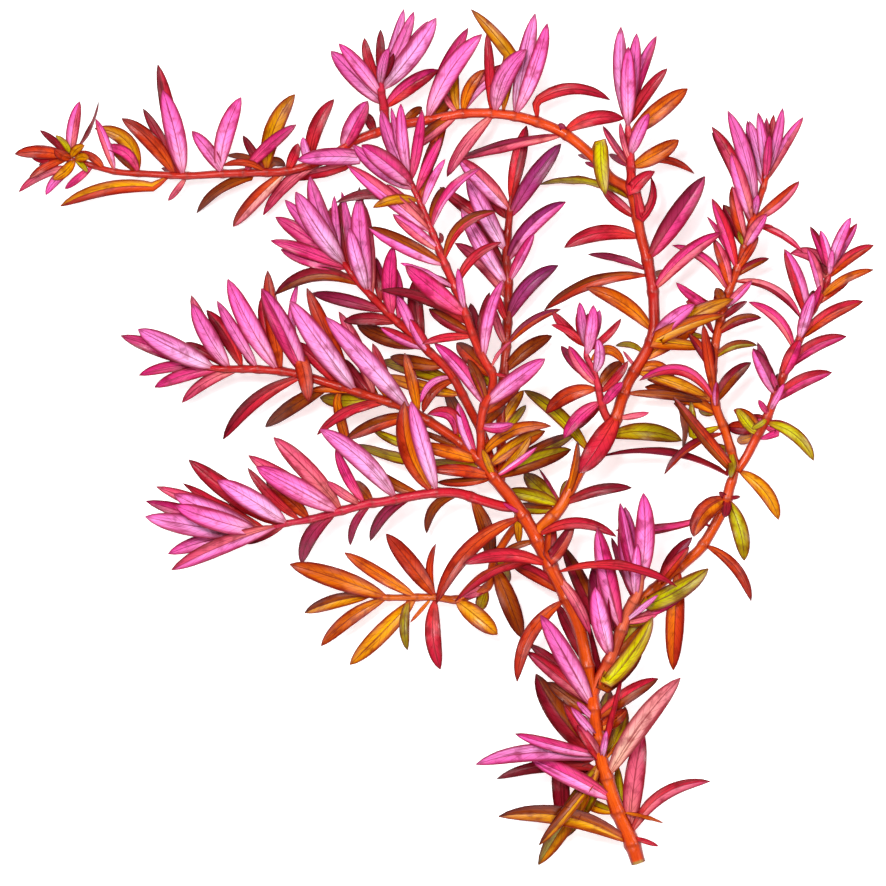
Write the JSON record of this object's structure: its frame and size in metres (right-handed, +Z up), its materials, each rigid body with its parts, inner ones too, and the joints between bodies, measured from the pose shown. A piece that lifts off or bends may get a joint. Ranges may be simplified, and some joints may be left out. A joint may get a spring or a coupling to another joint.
{
  "type": "aquarium plant cutting",
  "caption": "Cut, branching stem of red rotala lying flat, its narrow pointed leaves in pairs along every shoot, from olive and orange to crimson and pink.",
  "frame": {"origin": "middle of the underside of the plant's box, on the surface that it lies on", "axes": "+Z up from the surface, +Y from the cut end towards the shoot tips, +X to the right as seen from above"},
  "size_m": [0.2146, 0.214, 0.0384],
  "materials": {
    "trunk_leaf": "satin",
    "main_leaf": "satin",
    "arch_leaf": "satin",
    "front_leaf": "satin",
    "back_leaf": "satin",
    "cross_leaf": "satin",
    "left_leaf": "satin",
    "low_leaf": "satin",
    "fork_leaf": "satin",
    "side_leaf": "satin",
    "side_inner_leaf": "satin",
    "side_outer_leaf": "satin",
    "tuft_leaf": "satin"
  },
  "bodies": {
    "root": {"arch_1": "arch_leaf", "arch_2": "arch_leaf", "arch_3": "arch_leaf", "arch_4": "arch_leaf", "arch_5": "arch_leaf", "arch_6": "arch_leaf", "arch_7": "arch_leaf", "arch_8": "arch_leaf", "back_1": "back_leaf", "back_2": "back_leaf", "cross_1": "cross_leaf", "cross_2": "cross_leaf", "fork_1": "fork_leaf", "fork_2": "fork_leaf", "front_1": "front_leaf", "front_2": "front_leaf", "inner_tuft": "tuft_leaf", "left_1": "left_leaf", "left_2": "left_leaf", "low": "low_leaf", "main_1": "main_leaf", "main_2": "main_leaf", "main_3": "main_leaf", "main_4": "main_leaf", "main_5": "main_leaf", "right_tuft": "tuft_leaf", "side_1": "side_leaf", "side_2": "side_leaf", "side_inner_1": "side_inner_leaf", "side_inner_2": "side_inner_leaf", "side_inner_3": "side_inner_leaf", "side_outer_1": "side_outer_leaf", "side_outer_2": "side_outer_leaf", "top_tuft": "tuft_leaf", "trunk": "trunk_leaf"}
  },
  "joints": []
}
